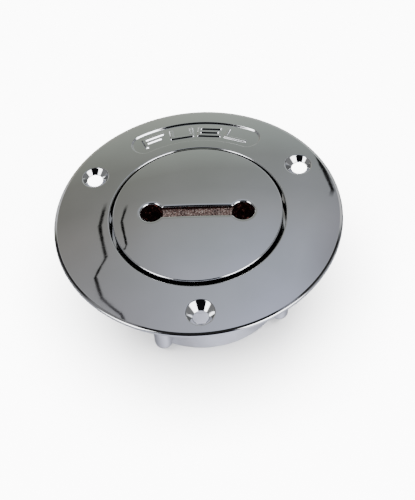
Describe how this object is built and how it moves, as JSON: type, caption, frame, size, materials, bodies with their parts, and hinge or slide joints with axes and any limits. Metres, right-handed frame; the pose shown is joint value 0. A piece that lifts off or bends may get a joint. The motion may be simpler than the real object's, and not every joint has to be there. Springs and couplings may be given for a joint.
{
  "type": "deck fill cap",
  "caption": "Round chromed deck fill plate with a keyed screw cap, raised lettering, countersunk screw holes and a threaded neck below deck.",
  "frame": {"origin": "centre of the neck's lower end", "axes": "+Z along the neck's axis, up out of the deck; +Y towards the raised lettering, opposite the front screw hole"},
  "size_m": [0.089, 0.089, 0.0368],
  "materials": {
    "chrome_plate": "polished chrome plate over cast brass",
    "nitrile": "black nitrile rubber",
    "stainless": "stainless steel wire and sheet",
    "brass": "plain turned brass"
  },
  "bodies": {
    "root": {"deck_plate": "chrome_plate", "anchor_ring": "stainless", "chain_bell_neck": "stainless", "chain_bead_01": "stainless", "chain_bead_02": "stainless", "chain_bead_03": "stainless", "chain_bead_04": "stainless"},
    "swivel": {"swivel_eye": "stainless", "chain_bell_cap": "stainless"},
    "cap": {"fill_cap": "chrome_plate", "cap_o_ring": "nitrile", "swivel_stud": "brass"},
    "bead_05": {"chain_bead_05": "stainless"},
    "bead_06": {"chain_bead_06": "stainless"},
    "bead_07": {"chain_bead_07": "stainless"},
    "bead_08": {"chain_bead_08": "stainless"},
    "bead_09": {"chain_bead_09": "stainless"},
    "bead_10": {"chain_bead_10": "stainless"},
    "bead_11": {"chain_bead_11": "stainless"},
    "bead_12": {"chain_bead_12": "stainless"},
    "bead_13": {"chain_bead_13": "stainless"}
  },
  "joints": [
    {"name": "cap_rise", "type": "slide", "parent": "root", "child": "swivel", "axis": [0, 0, 1], "range_m": [0, 0.016]},
    {"name": "cap_turn", "type": "hinge", "parent": "swivel", "child": "cap", "pos_m": [0, 0, 0.0288], "axis": [0, 0, 1], "range_deg": [0, 1440]},
    {"name": "bead_05_lift", "type": "slide", "parent": "root", "child": "bead_05", "axis": [0.3522, 0.9359, 0], "range_m": [0, 0.000784]},
    {"name": "bead_06_lift", "type": "slide", "parent": "root", "child": "bead_06", "axis": [-0.0086, 0.9999, -0.0112], "range_m": [0, 0.00151]},
    {"name": "bead_07_lift", "type": "slide", "parent": "root", "child": "bead_07", "axis": [-0.3529, 0.9356, 0.0038], "range_m": [0, 0.00247]},
    {"name": "bead_08_lift", "type": "slide", "parent": "root", "child": "bead_08", "axis": [-0.8577, 0.4822, 0.1786], "range_m": [0, 0.00509]},
    {"name": "bead_09_lift", "type": "slide", "parent": "root", "child": "bead_09", "axis": [-0.8773, -0.1343, 0.4607], "range_m": [0, 0.00959]},
    {"name": "bead_10_lift", "type": "slide", "parent": "root", "child": "bead_10", "axis": [-0.4874, -0.4339, 0.7578], "range_m": [0, 0.0129]},
    {"name": "bead_11_lift", "type": "slide", "parent": "root", "child": "bead_11", "axis": [-0.1, -0.266, 0.9588], "range_m": [0, 0.0149]},
    {"name": "bead_12_lift", "type": "slide", "parent": "root", "child": "bead_12", "axis": [0.004, -0.0395, 0.9992], "range_m": [0, 0.01593]},
    {"name": "bead_13_lift", "type": "slide", "parent": "root", "child": "bead_13", "axis": [0.0007, 0.0085, 1], "range_m": [0, 0.016]}
  ],
  "couplings": [
    {"joint": "cap_rise", "follows": "cap_turn", "m_per_rad": 0.00063662},
    {"joint": "bead_05_lift", "follows": "cap_turn", "m_per_rad": 0.000031137},
    {"joint": "bead_06_lift", "follows": "cap_turn", "m_per_rad": 0.000060016},
    {"joint": "bead_07_lift", "follows": "cap_turn", "m_per_rad": 0.000098144},
    {"joint": "bead_08_lift", "follows": "cap_turn", "m_per_rad": 0.00020253},
    {"joint": "bead_09_lift", "follows": "cap_turn", "m_per_rad": 0.00038137},
    {"joint": "bead_10_lift", "follows": "cap_turn", "m_per_rad": 0.00051307},
    {"joint": "bead_11_lift", "follows": "cap_turn", "m_per_rad": 0.00059267},
    {"joint": "bead_12_lift", "follows": "cap_turn", "m_per_rad": 0.00063391},
    {"joint": "bead_13_lift", "follows": "cap_turn", "m_per_rad": 0.0006366}
  ]
}
